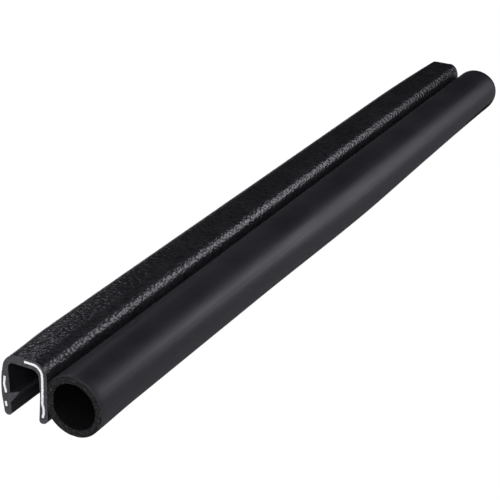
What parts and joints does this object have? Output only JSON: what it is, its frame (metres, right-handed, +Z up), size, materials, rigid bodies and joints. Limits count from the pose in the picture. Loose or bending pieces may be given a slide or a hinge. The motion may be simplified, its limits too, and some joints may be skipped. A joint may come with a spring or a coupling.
{
  "type": "edge trim seal",
  "caption": "Length of black edge trim seal: a U-shaped grip channel over a bent metal strip, with a hollow sponge bulb along one leg.",
  "frame": {"origin": "on the floor, at the middle of the seal's length and of its overall width", "axes": "+X along the seal, towards the cut end that faces the viewer in the picture; +Y from the grip channel to the bulb; +Z up, from the channel's mouth to its roof"},
  "size_m": [0.2, 0.0226, 0.0136],
  "materials": {
    "grained_pvc": "grained",
    "core_metal": "bright, sheared",
    "sponge_rubber": "satin skin, open pores at the cut ends"
  },
  "bodies": {
    "root": {"trim_channel": "grained_pvc", "core_strip": "core_metal", "bulb_seal": "sponge_rubber"}
  },
  "joints": []
}
